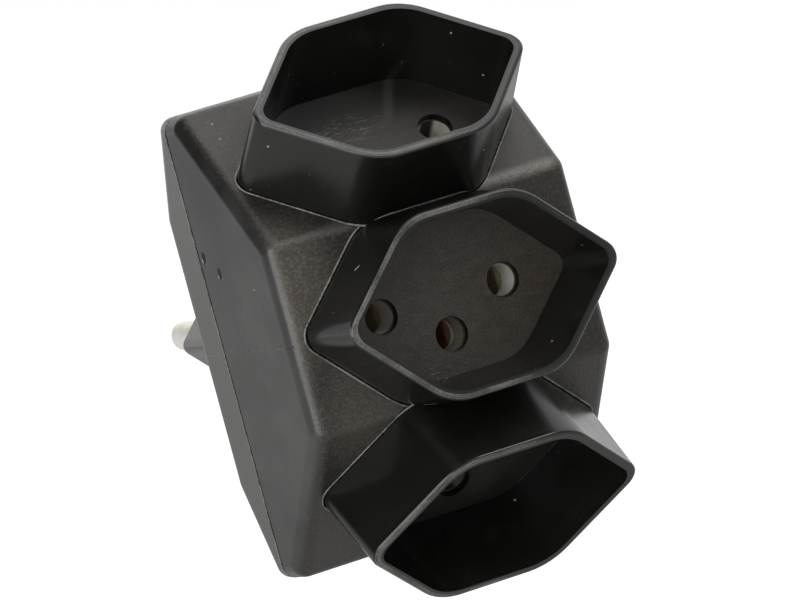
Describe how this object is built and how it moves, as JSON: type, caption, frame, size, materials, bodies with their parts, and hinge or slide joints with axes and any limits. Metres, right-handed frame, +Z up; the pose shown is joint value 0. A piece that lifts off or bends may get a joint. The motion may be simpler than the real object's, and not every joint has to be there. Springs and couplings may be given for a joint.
{
  "type": "multi socket adapter",
  "caption": "Plug-in wall adapter: hexagonal pin plug behind, wedge-fronted black housing, hexagonal recessed sockets fanning up, forward and down.",
  "frame": {"origin": "middle of the plug's seating face, level with the live and neutral pins", "axes": "+Y along the plug's pins into the wall, +Z up towards the upward facing socket, X along the wall through the live and neutral pins"},
  "size_m": [0.0472, 0.0771, 0.0792],
  "materials": {
    "housing": "fine spark texture, satin sheen",
    "socket": "smooth, soft gloss outside the collars",
    "nickel": "nickel plated",
    "brass": "plain brass"
  },
  "bodies": {
    "root": {"front_shell": "housing", "rear_cover": "housing", "socket_block": "socket", "live_pin": "nickel", "live_bar": "brass", "top_live_ring": "nickel", "top_live_clamp": "brass", "middle_live_ring": "nickel", "middle_live_clamp": "brass", "bottom_live_ring": "nickel", "bottom_live_clamp": "brass", "neutral_pin": "nickel", "neutral_bar": "brass", "top_neutral_ring": "nickel", "top_neutral_clamp": "brass", "middle_neutral_ring": "nickel", "middle_neutral_clamp": "brass", "bottom_neutral_ring": "nickel", "bottom_neutral_clamp": "brass", "earth_pin": "nickel", "earth_bar": "brass", "top_earth_ring": "nickel", "top_earth_clamp": "brass", "middle_earth_ring": "nickel", "middle_earth_clamp": "brass", "bottom_earth_ring": "nickel", "bottom_earth_clamp": "brass"}
  },
  "joints": []
}
